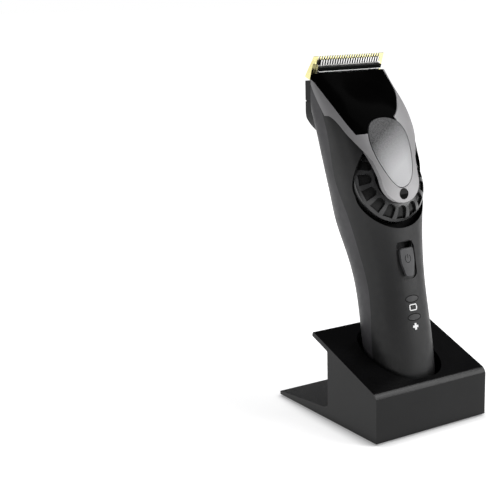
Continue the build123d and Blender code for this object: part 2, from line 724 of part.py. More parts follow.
with BuildPart() as head_bezel:
    add(front_skin.part)
    add(PANEL_REGION, mode=Mode.SUBTRACT)
    add(EGG_HOLE, mode=Mode.SUBTRACT)
    add(lens_hole.part, mode=Mode.SUBTRACT)
save(head_bezel.part, "head_bezel")

with BuildPart() as gloss_panel:
    add(OUTER_FORM)
    add(TRIM_FORM, mode=Mode.SUBTRACT)
    add(PANEL_REGION, mode=Mode.INTERSECT)
    add(BEZEL_REGION, mode=Mode.INTERSECT)
    add(HEAD_TRIM, mode=Mode.SUBTRACT)
    add(BACK_TRIM, mode=Mode.SUBTRACT)
    add(BLADE_TRIM, mode=Mode.SUBTRACT)
    add(EGG_HOLE, mode=Mode.SUBTRACT)
save(gloss_panel.part, "gloss_panel")

with BuildPart() as thumb_plate:
    add(LIFTED_FORM)
    add(TRIM_FORM, mode=Mode.SUBTRACT)
    add(EGG, mode=Mode.INTERSECT)
save(thumb_plate.part, "thumb_plate")

with BuildPart() as index_lens:
    add(front_disc(LENS_S, LENS_RADIUS, (-40, -8)))
    add(LIFTED_FORM, mode=Mode.INTERSECT)
    add(TRIM_FORM, mode=Mode.SUBTRACT)
save(index_lens.part, "index_lens")

# ---------------------------------------------------------------- clipper: taper dial

HUB_LIP = 11.45
HUB_RADIUS = 11.4
CAM_GROOVE = (16.3, 19.5)


with BuildSketch() as dial_cell:
    with BuildLine():
        Polyline((15.9, -2.5), (20.6, -3.0), (20.6, 3.0), (15.9, 2.5))
        ThreePointArc((15.9, 2.5), (14.5, 0), (15.9, -2.5))
    make_face()

with BuildPart() as dial_cells:
    with BuildSketch(DIAL.offset(-1)):
        with PolarLocations(0, DIAL_CELLS, start_angle=-90):
            add(dial_cell.sketch)
    extrude(amount=8)

with BuildPart() as taper_dial:
    add(dial_blank(0.0))
    add(dial_cells.part, mode=Mode.SUBTRACT)
    add(dial_blank(CELL_DEPTH))
    add(dial_ring(DIAL_BORE + 1, HUB_LIP, (-DIAL_DEPTH, -DIAL_DEPTH + 1.5)))
    add(dial_ring(CAM_GROOVE[1], CAM_GROOVE[0], (-DIAL_DEPTH, -DIAL_DEPTH + 1.6)), mode=Mode.SUBTRACT)
save(taper_dial.part, "taper_dial")

with BuildPart() as dial_hub:
    add(dial_ring(HUB_RADIUS, 0, (POCKET_FLOOR, 20)))
    add(SKIN_FORM, mode=Mode.INTERSECT)
save(dial_hub.part, "dial_hub")

with BuildPart() as dial_washer:
    add(dial_ring(15.6, 12.6, (POCKET_FLOOR, POCKET_FLOOR + 0.4)))
save(dial_washer.part, "dial_washer")

# ---------------------------------------------------------------- clipper: controls and lights

with BuildPart() as power_button:
    add(BUTTON_PRISM)
    add(LIFTED_LOW_FORM, mode=Mode.INTERSECT)
    add(BUTTON_BED_FORM, mode=Mode.SUBTRACT)
    add(handle_box((-1.8, 1.8), (-15.6, -12.6), (72.0, 76.5)))
save(power_button.part, "power_button")

# Its upper end stays behind the trench over the whole stroke and hides the works
with BuildPart() as slide_switch:
    add(handle_box((-5.2, 5.2), (-12.4, -11.0), (68.0, 86.5)))
save(slide_switch.part, "slide_switch")

BOARD_V = (-11.0, -9.8)
for name, s in zip(("battery_light_lens", "charge_light_lens"), LED_STATIONS):
    with BuildPart() as light_lens:
        with BuildSketch(HANDLE_FRONT.offset(-BOARD_V[0] + 1.2)):
            with Locations((0, s)):
                Ellipse(*LED_SIZE)
        extrude(amount=20)
        add(OUTER_FORM, mode=Mode.INTERSECT)
    save(light_lens.part, name)

with BuildPart() as indicator_lamps:
    for s in LED_STATIONS:
        add(handle_box((-1.5, 1.5), (BOARD_V[0] - 1.1, BOARD_V[0]), (s - 0.9, s + 0.9)))
save(indicator_lamps.part, "indicator_lamps")

with BuildPart() as circuit_board:
    add(handle_box((-10.0, 10.0), BOARD_V, (13.0, 87.0)))
save(circuit_board.part, "circuit_board")

# ---------------------------------------------------------------- clipper: battery and motor

BATTERY_RADIUS = 7.1
BATTERY_S = (14.0, 63.0)
BATTERY_V = 2.5
with BuildPart() as battery_cell:
    with BuildSketch(HANDLE.offset(BATTERY_S[0])):
        with Locations((0, BATTERY_V)):
            Circle(BATTERY_RADIUS)
    extrude(amount=BATTERY_S[1] - BATTERY_S[0])
    fillet(battery_cell.edges(), 0.8)
save(battery_cell.part, "battery_cell")

with BuildPart() as battery_tabs:
    for s0, s1 in ((BATTERY_S[0] - 0.4, BATTERY_S[0]), (BATTERY_S[1], BATTERY_S[1] + 0.4)):
        add(handle_box((-2.5, 2.5), (BOARD_V[1], BATTERY_V + 3), (s0, s1)))
save(battery_tabs.part, "battery_tabs")

MOTOR_HALF = 14.0
CORE_HALF = 11.5
ARMATURE_HALF = 9.2
ARMATURE_V = (2.6, 7.0)
CORE_V = (7.6, 14.4)
MOTOR_S = (99.5, 128.0)
SPRING_X = 10.9
SPRING_THICKNESS = 0.4

with BuildPart() as motor_frame:
    add(handle_box((-MOTOR_HALF, MOTOR_HALF), (ARMATURE_V[0], CORE_V[1]), (MOTOR_S[0] - 2.5, MOTOR_S[0])))
    for side in (-1, 1):
        wall = sorted((side * MOTOR_HALF, side * (MOTOR_HALF - 1.5)))
        add(handle_box(wall, (ARMATURE_V[0], CORE_V[1]), MOTOR_S))
    add(handle_box((-MOTOR_HALF, MOTOR_HALF), (CORE_V[1] - 1.5, CORE_V[1]), MOTOR_S))
save(motor_frame.part, "motor_frame")

CORE_LEG = 4.0
CORE_S = (102.5, 114.5)
with BuildPart() as stator_core:
    add(handle_box((-CORE_HALF, CORE_HALF), (CORE_V[1] - 4.0, CORE_V[1] - 1.5), CORE_S))
    for x in (-CORE_HALF + CORE_LEG / 2, 0, CORE_HALF - CORE_LEG / 2):
        add(handle_box((x - CORE_LEG / 2, x + CORE_LEG / 2), (CORE_V[0], CORE_V[1] - 4.0), CORE_S))
save(stator_core.part, "stator_core")

COIL_WALL = 1.6
with BuildPart() as stator_coil:
    coil_s = (CORE_S[0] - COIL_WALL, CORE_S[1] + COIL_WALL)
    reach = CORE_LEG / 2
    add(handle_box((-reach - COIL_WALL, reach + COIL_WALL), (CORE_V[0] + 0.5, CORE_V[1] - 4.0), coil_s))
    add(handle_box((-reach, reach), (CORE_V[0], CORE_V[1]), CORE_S), mode=Mode.SUBTRACT)
save(stator_coil.part, "stator_coil")

ARM_HALF = 2.0
with BuildPart() as armature:
    add(handle_box((-ARMATURE_HALF, ARMATURE_HALF), ARMATURE_V, (102.5, 122.0)))
    bridge_half = SPRING_X - SPRING_THICKNESS / 2
    add(handle_box((-bridge_half, bridge_half), ARMATURE_V, (122.0, 125.5)))
save(armature.part, "armature")

with BuildPart() as motor_magnets:
    for side in (-1, 1):
        limits = sorted((side * 1.0, side * 7.5))
        add(handle_box(limits, (ARMATURE_V[1], ARMATURE_V[1] + 0.4), (103.5, 113.5)))
save(motor_magnets.part, "motor_magnets")

with BuildPart() as motor_springs:
    for side in (-1, 1):
        middle = side * SPRING_X
        limits = (middle - SPRING_THICKNESS / 2, middle + SPRING_THICKNESS / 2)
        add(handle_box(limits, (ARMATURE_V[0] + 0.3, ARMATURE_V[1]), (MOTOR_S[0], 125.5)))
save(motor_springs.part, "motor_springs")

# The arm rises from the armature, then its pin reaches back through the seat wall into the blade
PIN_Z = (165.3, 168.7)
PIN_BACK = 31.2
with BuildPart() as drive_arm:
    add(handle_box((-ARM_HALF, ARM_HALF), (3.4, 6.4), (125.5, 162.5)))
    add(upright_box((-ARM_HALF, ARM_HALF), (14.2, PIN_BACK), PIN_Z))
save(drive_arm.part, "drive_arm")

# ---------------------------------------------------------------- clipper: taper slider

SLIDER_X = (14.2, 17.6)
SLIDER_LOW_V = (1.6, 2.8)
SLIDER_HIGH_V = (6.0, 7.2)
SLIDER_JOG_S = (137.8, 139.0)
FINGER_S = (160.6, 163.4)
FINGER_BACK = 19.4
with BuildPart() as taper_slider:
    add(handle_box(SLIDER_X, SLIDER_LOW_V, (121.0, SLIDER_JOG_S[1])))
    add(handle_box(SLIDER_X, (SLIDER_LOW_V[0], SLIDER_HIGH_V[1]), SLIDER_JOG_S))
    add(handle_box(SLIDER_X, SLIDER_HIGH_V, (SLIDER_JOG_S[0], FINGER_S[1])))
    add(handle_box(SLIDER_X, (SLIDER_HIGH_V[0], FINGER_BACK), FINGER_S))
    # The pin reaches forward into the groove in the dial's back
    with BuildSketch(DIAL.offset(-12.0)):
        with Locations(CAM_PIN):
            Circle(CAM_PIN_RADIUS)
    extrude(amount=8.1)
save(taper_slider.part, "taper_slider")

# ---------------------------------------------------------------- blade block

HOLDER_FRONT = HEAD_BACK + 0.1
HOLDER_BACK = 36.5
DOME_Z = 161.0
HOLDER_TOP = 177.0
HOLDER_BOTTOM = HOLDER_SEAT_BOTTOM + 0.6
HOLDER_HALF = 21.4
HOLDER_WALL = 1.5
NECK_BACK = 29.8
NECK_DEPTH = 1.1
SIDE_LINE = 0.5
GROOVES = 11
GROOVE_PITCH = 2.6


def holder_form(wall):
    """Blade holder's outer form, or its hollow when wall is given: a dome seen from behind, a wedge from the side."""
    half = HOLDER_HALF - wall
    low = HOLDER_BOTTOM + 2 * wall
    top = HOLDER_TOP + 3 * wall
    front = HOLDER_FRONT + wall
    with BuildPart() as form:
        with BuildSketch(Plane.XZ.offset(-front)):
            with BuildLine():
                Polyline((-half, DOME_Z), (-half, top), (half, top), (half, DOME_Z))
                EllipticalCenterArc((0, DOME_Z), half, DOME_Z - low, start_angle=180, arc_size=180)
            make_face()
        extrude(amount=-(HOLDER_BACK - wall - front))
        with BuildSketch(Plane.YZ.offset(-30)):
            with BuildLine():
                Polyline((29.6 - wall, low - 1), (HOLDER_BACK - wall, 157.0 + wall / 2), (60, 157.0 + wall / 2))
                Polyline((60, 157.0 + wall / 2), (60, low - 1), (29.6 - wall, low - 1))
            make_face()
        extrude(amount=60, mode=Mode.SUBTRACT)
    return form.part


with BuildPart() as blade_holder:
    add(holder_form(0.0))
    add(holder_form(HOLDER_WALL), mode=Mode.SUBTRACT)
    # Openings towards the head for the drive pin, the taper slider's finger and the carriage's legs
    for limits in ((-18.8, -13.0), (-5.2, 5.2), (13.0, 18.8)):
        front_wall = (HOLDER_FRONT - 1, HOLDER_FRONT + HOLDER_WALL + 0.5)
        add(upright_box(limits, front_wall, (150.0, HOLDER_TOP + 1)), mode=Mode.SUBTRACT)
    # Grip grooves on the back
    for index in range(GROOVES):
        x = (index - (GROOVES - 1) / 2) * GROOVE_PITCH
        add(upright_box((x - 0.5, x + 0.5), (HOLDER_BACK - 0.6, HOLDER_BACK + 1), (160.0, 173.0)), mode=Mode.SUBTRACT)
    # Shadow gap beside the head, and a shallow line across each side
    for side in (-1, 1):
        neck = sorted((side * (HOLDER_HALF - NECK_DEPTH), side * 30))
        add(upright_box(neck, (HOLDER_FRONT - 1, NECK_BACK), (HOLDER_BOTTOM - 1, HOLDER_TOP + 1)), mode=Mode.SUBTRACT)
        line = sorted((side * (HOLDER_HALF - SIDE_LINE), side * 30))
        add(upright_box(line, (NECK_BACK, HOLDER_BACK + 1), (166.0, 166.6)), mode=Mode.SUBTRACT)
    # Chamfer that clears the head as the block tips back, slot for the head's lug, and the pin's bore
    with BuildSketch(Plane.YZ.offset(-30)):
        with BuildLine():
            Polyline((26, 143), (HOLDER_FRONT, 145.7), (PIVOT_Y + 0.2, HOLDER_BOTTOM), (PIVOT_Y, 143), close=True)
        make_face()
    extrude(amount=60, mode=Mode.SUBTRACT)
    add(upright_box((-LUG_HALF - 0.3, LUG_HALF + 0.3), (26, 31.5), (143, 147.5)), mode=Mode.SUBTRACT)
    add(pivot_bar(PIN_RADIUS, PIN_HALF), mode=Mode.SUBTRACT)
save(blade_holder.part, "blade_holder")

with BuildPart() as tilt_pin:
    add(pivot_bar(PIN_RADIUS, PIN_HALF))
save(tilt_pin.part, "tilt_pin")

# Steel rail across the holder's mouth that carries the fixed comb
RAIL_V = (-16.0, -10.2)
RAIL_THICKNESS = 1.4
with BuildPart() as blade_rail:
    add(blade_box((HOLDER_WALL - HOLDER_HALF, HOLDER_HALF - HOLDER_WALL), RAIL_V, (0.0, RAIL_THICKNESS)))
save(blade_rail.part, "blade_rail")

COMB_BACK = [(0.5, 0.0), (1.4, -3.0), (3.2, -8.0), (4.6, -12.4)]
COMB_BASE = -13.0
BLADE_SCREW_X = 12.0
BLADE_SCREW_V = -11.6
with BuildPart() as fixed_blade:
    with BuildSketch(BLADE_SIDE.offset(-BLADE_WIDTH / 2)):
        with BuildLine():
            Spline(*COMB_BACK)
            Polyline(COMB_BACK[-1], (4.6, COMB_BASE), (0, COMB_BASE), (0, 0), COMB_BACK[0])
        make_face()
    extrude(amount=BLADE_WIDTH)
    with BuildSketch(BLADE.offset(-8)):
        with GridLocations(TOOTH_PITCH, 1, COMB_SLOTS, 1):
            Rectangle(COMB_SLOT_WIDTH, 2 * COMB_SLOT_LENGTH)
    extrude(amount=10, mode=Mode.SUBTRACT)
    with BuildSketch(BLADE.offset(-8)):
        with Locations((-BLADE_SCREW_X, BLADE_SCREW_V), (BLADE_SCREW_X, BLADE_SCREW_V)):
            Circle(1.1)
    extrude(amount=10, mode=Mode.SUBTRACT)
save(fixed_blade.part, "fixed_blade")

with BuildPart() as blade_screws:
    with BuildSketch(BLADE.offset(-3.9)):
        with Locations((-BLADE_SCREW_X, BLADE_SCREW_V), (BLADE_SCREW_X, BLADE_SCREW_V)):
            Circle(1.05)
    extrude(amount=3.9)
save(blade_screws.part, "blade_screws")

CUTTER_V = (-9.5, -1.4)
CUTTER_TOOTH = 0.72
CUTTER_TOOTH_LENGTH = 2.9
CUTTER_TEETH = COMB_SLOTS - 1
CUTTER_W = (CUTTER_GAP, CUTTER_GAP + CUTTER_THICKNESS)
with BuildPart() as moving_blade:
    root = CUTTER_V[1] - CUTTER_TOOTH_LENGTH
    add(blade_box((-CUTTER_WIDTH / 2, CUTTER_WIDTH / 2), (CUTTER_V[0], root), CUTTER_W))
    with BuildSketch(BLADE.offset(CUTTER_W[0])):
        with Locations((0, (root + CUTTER_V[1]) / 2)):
            with GridLocations(TOOTH_PITCH, 1, CUTTER_TEETH, 1):
                Rectangle(CUTTER_TOOTH, CUTTER_TOOTH_LENGTH)
    extrude(amount=CUTTER_THICKNESS)
save(moving_blade.part, "moving_blade")

# Fork that the drive pin pushes from side to side; it is open towards the head
FORK_W = (CUTTER_W[1], CUTTER_W[1] + 0.7)
FORK_SLOT_HALF = ARM_HALF + 0.06
FORK_HALF = 3.8
with BuildPart() as drive_fork:
    add(blade_box((-FORK_HALF, FORK_HALF), (-21.5, -8.4), FORK_W))
    add(upright_box((-FORK_HALF, FORK_HALF), (29.2, 33.4), (164.2, 171.5)))
    add(upright_box((-FORK_SLOT_HALF, FORK_SLOT_HALF), (20.0, PIN_BACK + 0.5), (160.0, 169.9)), mode=Mode.SUBTRACT)
save(drive_fork.part, "drive_fork")

# Carriage: a bar across the front of the moving blade and two legs down into the holder
CARRIAGE_HALF = 20.2
BAR_V = (-7.0, -5.1)
BAR_REACH = 3.4
LEG_X = (13.6, 18.2)
LEG_W = (CUTTER_W[1] + 0.1, CUTTER_W[1] + 0.65)
with BuildPart() as blade_carriage:
    add(blade_box((-CARRIAGE_HALF, CARRIAGE_HALF), BAR_V, (LEG_W[0], BAR_REACH)))
    for side in (-1, 1):
        limits = sorted((side * LEG_X[0], side * LEG_X[1]))
        add(blade_box(limits, (-24.5, BAR_V[1]), LEG_W))
    add(upright_box(LEG_X, (28.6, 32.6), (166.0, 167.4)))
save(blade_carriage.part, "blade_carriage")

STRIP_HEIGHT = 0.5
with BuildPart() as guide_strip:
    add(blade_box((-CARRIAGE_HALF, CARRIAGE_HALF), (BAR_V[0] - STRIP_HEIGHT, BAR_V[0]), (LEG_W[1], BAR_REACH)))
save(guide_strip.part, "guide_strip")

with BuildPart() as blade_spring:
    add(upright_box((-9.0, 9.0), (28.2, 28.6), (150.0, 161.5)))
save(blade_spring.part, "blade_spring")
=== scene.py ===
"""Looks of the hair clipper in its charging stand: materials, printed symbols, studio and camera.

Metres in Blender. The handle's own frame is used for the printed symbols: x across, v towards the back and
s along the handle from its lower end, as in the CAD source. The dial and the blade have frames of their own.
"""

import json
import math

import bmesh
import bpy
from mathutils import Matrix, Vector
from mathutils.bvhtree import BVHTree


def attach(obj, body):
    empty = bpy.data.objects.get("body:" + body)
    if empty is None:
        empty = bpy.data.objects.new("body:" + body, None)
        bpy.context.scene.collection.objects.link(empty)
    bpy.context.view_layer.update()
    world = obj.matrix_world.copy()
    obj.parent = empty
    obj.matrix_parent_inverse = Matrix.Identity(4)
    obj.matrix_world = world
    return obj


MM = 0.001
HANDLE_LEAN = math.radians(11.5)
HANDLE_FOOT = Vector((0.0, -21.8, 9.3)) * MM
HANDLE_BACK = Vector((0.0, math.cos(HANDLE_LEAN), -math.sin(HANDLE_LEAN)))
HANDLE_UP = Vector((0.0, math.sin(HANDLE_LEAN), math.cos(HANDLE_LEAN)))
DIAL_TILT = math.radians(24.0)
DIAL_CENTRE = Vector((0.0, -8.9, 126.3)) * MM
DIAL_AXIS = Vector((0.0, -math.cos(DIAL_TILT), math.sin(DIAL_TILT)))
DIAL_UP = Vector((0.0, math.sin(DIAL_TILT), math.cos(DIAL_TILT)))
DIAL_BORE = 13.0 * MM
DIAL_CREST = 4.6 * MM
CREST_RADIUS = 17.6 * MM
CREST_SLOPE = 0.315
CREST_BEND = 64.6
POCKET_RADIUS = 22.45 * MM
POCKET_LOW_RADIUS = 21.95 * MM
POCKET_DROP = 3.6 * MM
BLADE_LEAN = math.radians(19.5)
BLADE_TIP = Vector((0.0, 25.6, 189.9)) * MM
BLADE_UP = Vector((0.0, -math.sin(BLADE_LEAN), math.cos(BLADE_LEAN)))
BLADE_OUT = Vector((0.0, -math.cos(BLADE_LEAN), -math.sin(BLADE_LEAN)))
SLOTTED_HALF = 21.5 * MM
CUTTER_HALF = 20.3 * MM
HEAD_TOP = 178 * MM
ORIGIN = (0, 0, 0)
ACROSS = (1, 0, 0)
UPWARD = (0, 0, 1)

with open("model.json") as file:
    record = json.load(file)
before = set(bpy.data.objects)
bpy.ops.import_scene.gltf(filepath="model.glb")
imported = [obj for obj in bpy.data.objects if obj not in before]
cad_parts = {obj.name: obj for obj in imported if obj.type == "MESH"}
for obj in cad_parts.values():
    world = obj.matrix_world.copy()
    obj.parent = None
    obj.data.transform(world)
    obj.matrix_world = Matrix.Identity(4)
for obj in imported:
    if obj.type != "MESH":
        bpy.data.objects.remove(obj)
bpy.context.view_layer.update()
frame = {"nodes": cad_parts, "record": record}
nodes = frame["nodes"]


# ---------------------------------------------------------------- materials

def new_material(name):
    """Empty node material with its shader and output joined."""
    material = bpy.data.materials.new(name)
    material.use_nodes = True
    tree = material.node_tree
    tree.nodes.clear()
    output = tree.nodes.new("ShaderNodeOutputMaterial")
    shader = tree.nodes.new("ShaderNodeBsdfPrincipled")
    tree.links.new(shader.outputs["BSDF"], output.inputs["Surface"])
    return material, tree, shader


def noise(tree, scale, detail=3.0, stretch=(1, 1, 1)):
    """Noise on the piece's own coordinates; scale is in waves per metre."""
    place = tree.nodes.new("ShaderNodeTexCoord")
    mapping = tree.nodes.new("ShaderNodeMapping")
    mapping.inputs["Scale"].default_value = stretch
    texture = tree.nodes.new("ShaderNodeTexNoise")
    texture.inputs["Scale"].default_value = scale
    texture.inputs["Detail"].default_value = detail
    tree.links.new(place.outputs["Object"], mapping.inputs["Vector"])
    tree.links.new(mapping.outputs["Vector"], texture.inputs["Vector"])
    return texture.outputs["Fac"]


def remap(tree, source, low, high, start=0.3, end=0.7):
    """Source spread between low and high as it goes from start to end."""
    node = tree.nodes.new("ShaderNodeMapRange")
    node.inputs["From Min"].default_value = start
    node.inputs["From Max"].default_value = end
    node.inputs["To Min"].default_value = low
    node.inputs["To Max"].default_value = high
    tree.links.new(source, node.inputs["Value"])
    return node.outputs["Result"]


def blend(tree, factor, first, second):
    """Colour between two colours or sockets."""
    node = tree.nodes.new("ShaderNodeMix")
    node.data_type = "RGBA"
    tree.links.new(factor, node.inputs["Factor"])
    for socket, colour in ((node.inputs[6], first), (node.inputs[7], second)):
        if isinstance(colour, tuple):
            socket.default_value = (*colour, 1.0)
        else:
            tree.links.new(colour, socket)
    return node.outputs[2]


def add_bump(tree, shader, heights):
    """Bumps one after another; each height is (socket, distance in metres, strength)."""
    normal = None
    for socket, distance, strength in heights:
        bump = tree.nodes.new("ShaderNodeBump")
        bump.inputs["Distance"].default_value = distance
        bump.inputs["Strength"].default_value = strength
        tree.links.new(socket, bump.inputs["Height"])
        if normal is not None:
            tree.links.new(normal, bump.inputs["Normal"])
        normal = bump.outputs["Normal"]
    tree.links.new(normal, shader.inputs["Normal"])


def moulded(name, colour, rough, grain=9000, depth=0.00002, specular=0.5, coat=0.0, drift=0.25):
    """Moulded plastic: slow colour drift, handling marks in the gloss and a fine spark-eroded grain."""
    material, tree, shader = new_material(name)
    shader.inputs["Specular IOR Level"].default_value = specular
    shader.inputs["Coat Weight"].default_value = coat
    shader.inputs["Coat Roughness"].default_value = 0.08
    slow = noise(tree, 60, 2.0)
    fine = noise(tree, grain, 2.0)
    darker = tuple(c * (1 - drift) for c in colour)
    lighter = tuple(c * (1 + drift) for c in colour)
    tree.links.new(blend(tree, remap(tree, slow, 0.0, 1.0), darker, lighter), shader.inputs["Base Color"])
    marks = noise(tree, 350, 5.0)
    tree.links.new(remap(tree, marks, rough * 0.85, min(1.0, rough * 1.15)), shader.inputs["Roughness"])
    add_bump(tree, shader, [(fine, depth, 0.35)])
    return material


def metal(name, colour, rough, stretch=(1, 1, 1), scale=4000, depth=0.00001, drift=0.12, metallic=1.0):
    """Metal with a directional grain and small changes of gloss."""
    material, tree, shader = new_material(name)
    shader.inputs["Metallic"].default_value = metallic
    grain = noise(tree, scale, 4.0, stretch)
    slow = noise(tree, 90, 2.0)
    darker = tuple(c * (1 - drift) for c in colour)
    lighter = tuple(min(1.0, c * (1 + drift)) for c in colour)
    tree.links.new(blend(tree, remap(tree, slow, 0.0, 1.0), darker, lighter), shader.inputs["Base Color"])
    tree.links.new(remap(tree, grain, rough * 0.7, min(1.0, rough * 1.3)), shader.inputs["Roughness"])
    add_bump(tree, shader, [(grain, depth, 0.4)])
    return material


def combine(tree, operation, first, second):
    """Two values joined by a calculation; either may be a plain number."""
    node = tree.nodes.new("ShaderNodeMath")
    node.operation = operation
    for socket, value in ((node.inputs[0], first), (node.inputs[1], second)):
        if isinstance(value, (int, float)):
            socket.default_value = value
        else:
            tree.links.new(value, socket)
    return node.outputs["Value"]


def offset_from(tree, origin):
    """Vector from an origin to the shaded point, in the piece's own coordinates."""
    place = tree.nodes.new("ShaderNodeTexCoord")
    offset = tree.nodes.new("ShaderNodeVectorMath")
    offset.operation = "SUBTRACT"
    offset.inputs[1].default_value = origin
    tree.links.new(place.outputs["Object"], offset.inputs[0])
    return offset.outputs["Vector"]


def along_direction(tree, origin, direction):
    """Distance of the shaded point from an origin along a direction."""
    product = tree.nodes.new("ShaderNodeVectorMath")
    product.operation = "DOT_PRODUCT"
    product.inputs[1].default_value = direction
    tree.links.new(offset_from(tree, origin), product.inputs[0])
    return product.outputs["Value"]


def from_axis(tree, origin, direction):
    """Distance of the shaded point from an axis."""
    turned = tree.nodes.new("ShaderNodeVectorMath")
    turned.operation = "CROSS_PRODUCT"
    turned.inputs[1].default_value = direction
    tree.links.new(offset_from(tree, origin), turned.inputs[0])
    distance = tree.nodes.new("ShaderNodeVectorMath")
    distance.operation = "LENGTH"
    tree.links.new(turned.outputs["Vector"], distance.inputs[0])
    return distance.outputs["Value"]


def from_middle(tree):
    """Distance of the shaded point from the plane that halves the object, on either side."""
    return combine(tree, "ABSOLUTE", along_direction(tree, ORIGIN, ACROSS), 0.0)


def facing(tree, axis):
    """Part of the surface's direction that lies along X, Y or Z."""
    surface = tree.nodes.new("ShaderNodeNewGeometry")
    split = tree.nodes.new("ShaderNodeSeparateXYZ")
    tree.links.new(surface.outputs["True Normal"], split.inputs["Vector"])
    return split.outputs[axis]


def opened(material):
    """Node tree, shader and base colour socket of a finished material."""
    shader = material.node_tree.nodes["Principled BSDF"]
    return material.node_tree, shader, shader.inputs["Base Color"].links[0].from_socket


def slot_wall_shade(tree, half_width):
    """One on faces turned sideways within the toothed width, zero elsewhere: the mask for the painted shade
    between the teeth.
    """
    sideways = combine(tree, "ABSOLUTE", facing(tree, "X"), 0.0)
    wall = remap(tree, sideways, 0.0, 1.0, 0.85, 0.95)
    inside = remap(tree, from_middle(tree), 1.0, 0.0, half_width, half_width + 0.4 * MM)
    return combine(tree, "MULTIPLY", wall, inside)


def comb_finish():
    """Gold coating on a steel comb; painted shade colours the sides of its slots dark between the teeth, and
    its front face is dark across the cutter's width more than 2 mm below the tip.
    """
    material = metal("comb_gold", (0.95, 0.86, 0.42), 0.26, stretch=(0.05, 1, 1))
    tree, shader, gold = opened(material)
    # painted shade: the sideways faces of the slots are coloured dark, as shade between the teeth
    gap_shade = slot_wall_shade(tree, SLOTTED_HALF)
    # dark on the front face across the cutter's width, more than 2 mm below the tip
    across = remap(tree, from_middle(tree), 1.0, 0.0, CUTTER_HALF + 0.3 * MM, CUTTER_HALF + 0.5 * MM)
    below = remap(tree, along_direction(tree, BLADE_TIP, BLADE_UP), 1.0, 0.0, -2.1 * MM, -1.9 * MM)
    front = remap(tree, along_direction(tree, BLADE_TIP, BLADE_OUT), 0.0, 1.0, -0.15 * MM, -0.05 * MM)
    under_cutter_dark = combine(tree, "MULTIPLY", combine(tree, "MULTIPLY", across, below), front)
    dark = combine(tree, "MAXIMUM", gap_shade, under_cutter_dark)
    tree.links.new(blend(tree, dark, gold, (0.02, 0.018, 0.015)), shader.inputs["Base Color"])
    return material


def cutter_finish():
    """Bright ground steel; painted shade colours the sides of the gaps between the teeth dark."""
    material = metal("cutter_steel", (0.88, 0.87, 0.86), 0.28, stretch=(0.05, 1, 1))
    tree, shader, bright = opened(material)
    # painted shade in the gaps between the teeth
    gap_shade = slot_wall_shade(tree, CUTTER_HALF)
    tree.links.new(blend(tree, gap_shade, bright, (0.02, 0.02, 0.02)), shader.inputs["Base Color"])
    return material


def stand_finish():
    """Semi-gloss black casting; its upward faces reflect less, a painted shade that keeps the tops dark."""
    material = moulded("stand_black", (0.0035, 0.0035, 0.0037), 0.22, specular=0.24)
    tree, shader, _ = opened(material)
    # painted shade: upward-facing faces get less reflection, so the tops stay dark
    gloss = remap(tree, facing(tree, "Z"), 0.24, 0.06, 0.86, 0.92)
    tree.links.new(gloss, shader.inputs["Specular IOR Level"])
    return material


def holder_finish():
    """Black plastic, dullest on the carriage bar at the blade."""
    material = moulded("holder_black", (0.005, 0.0055, 0.0055), 0.42, specular=0.18)
    tree, shader, _ = opened(material)
    height = along_direction(tree, ORIGIN, UPWARD)
    gloss = remap(tree, height, 0.18, 0.01, HEAD_TOP, HEAD_TOP + 2 * MM)
    tree.links.new(gloss, shader.inputs["Specular IOR Level"])
    return material


def steel_finish():
    """Rolled steel, pale and almost non-metallic on the strip below the blade."""
    material = metal("steel", (0.62, 0.62, 0.62), 0.32, stretch=(1, 1, 0.1))
    tree, shader, rolled = opened(material)
    height = along_direction(tree, ORIGIN, UPWARD)
    pale = remap(tree, height, 0.0, 1.0, HEAD_TOP - 1 * MM, HEAD_TOP + 1 * MM)
    tree.links.new(blend(tree, pale, rolled, (0.9, 0.9, 0.9)), shader.inputs["Base Color"])
    tree.links.new(remap(tree, pale, 1.0, 0.1, 0.0, 1.0), shader.inputs["Metallic"])
    return material


def dial_finish():
    """Black dial, glossy on its ribs and rim; painted shade colours the floors of its cells darker and less
    glossy.
    """
    material = moulded("dial_black", (0.018, 0.018, 0.0185), 0.27, specular=0.6)
    tree, shader, black = opened(material)
    radius = from_axis(tree, DIAL_CENTRE, DIAL_AXIS)
    inner = combine(tree, "SUBTRACT", radius, DIAL_BORE)
    outer = combine(tree, "SUBTRACT", radius, CREST_RADIUS)
    slope = combine(tree, "SUBTRACT", DIAL_CREST, combine(tree, "MULTIPLY", inner, CREST_SLOPE))
    curve = combine(tree, "MULTIPLY", combine(tree, "MULTIPLY", inner, outer), CREST_BEND)
    crest = combine(tree, "SUBTRACT", slope, curve)
    depth = combine(tree, "SUBTRACT", crest, along_direction(tree, DIAL_CENTRE, DIAL_AXIS))
    # painted shade in the recessed cells: the deeper floors are coloured darker
    cell_shade = remap(tree, depth, 0.0, 1.0, 0.5 * MM, 1.2 * MM)
    tree.links.new(blend(tree, cell_shade, black, (0.008, 0.008, 0.008)), shader.inputs["Base Color"])
    tree.links.new(remap(tree, cell_shade, 0.55, 0.18, 0.0, 1.0), shader.inputs["Specular IOR Level"])
    return material


def bezel_finish():
    """Silver lacquer with painted shade darkening the left arm, and paler towards the tongue."""
    material = moulded("bezel_silver", (0.27, 0.265, 0.27), 0.42, grain=6000, depth=0.00001, drift=0.04)
    tree, shader, silver = opened(material)
    # painted shade: the left arm is coloured darker
    left = remap(tree, along_direction(tree, ORIGIN, ACROSS), 1.0, 0.0, -16 * MM, 8 * MM)
    arm_shaded = blend(tree, left, silver, (0.175, 0.172, 0.176))
    low = remap(tree, along_direction(tree, HANDLE_FOOT, HANDLE_UP), 1.0, 0.0, 108 * MM, 128 * MM)
    tree.links.new(blend(tree, low, arm_shaded, (0.36, 0.355, 0.36)), shader.inputs["Base Color"])
    return material


